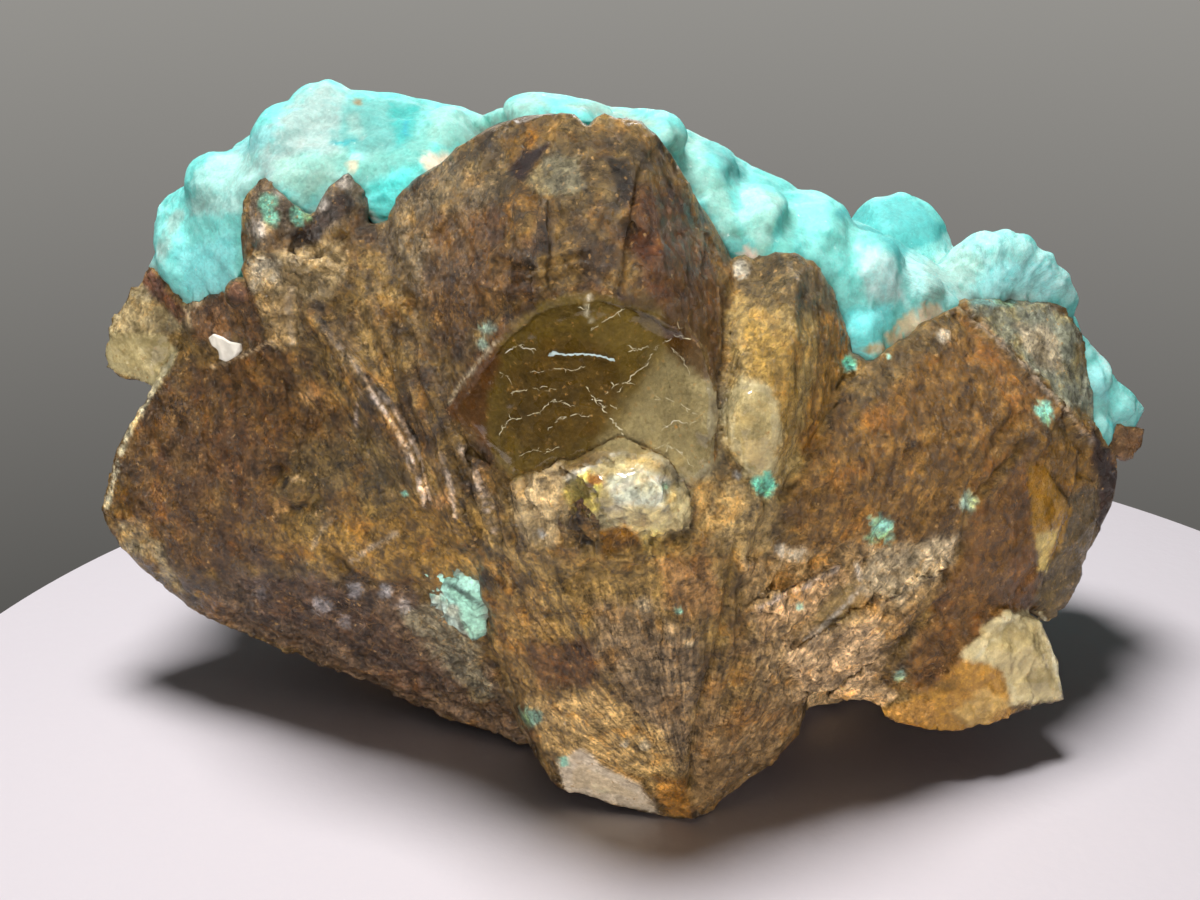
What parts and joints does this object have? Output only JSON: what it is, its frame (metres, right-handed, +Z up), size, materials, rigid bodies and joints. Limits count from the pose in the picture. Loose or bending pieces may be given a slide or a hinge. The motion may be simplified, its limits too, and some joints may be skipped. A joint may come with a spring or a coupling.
{
  "type": "hemimorphite on calcite mineral specimen",
  "caption": "Cabinet mineral specimen: brown calcite crystals fanning up from a foot, capped and backed by a lumpy turquoise hemimorphite crust.",
  "frame": {"origin": "centre of the bounding box, on the surface that the specimen stands on", "axes": "+X to the right along the specimen's length, seen from its crystal side; +Y from the crystal side to the crusted back; +Z up"},
  "size_m": [0.1344, 0.0746, 0.0809],
  "materials": {
    "stained_calcite": "iron-stained crystal faces with a fine glitter",
    "turquoise_hemimorphite": "silky fibrous fracture and dull rounded lumps",
    "weathered_hemimorphite": "rough, dull"
  },
  "bodies": {
    "root": {"calcite_cluster": "stained_calcite", "hemimorphite_crust": "turquoise_hemimorphite", "hemimorphite_patch": "weathered_hemimorphite"}
  },
  "joints": []
}
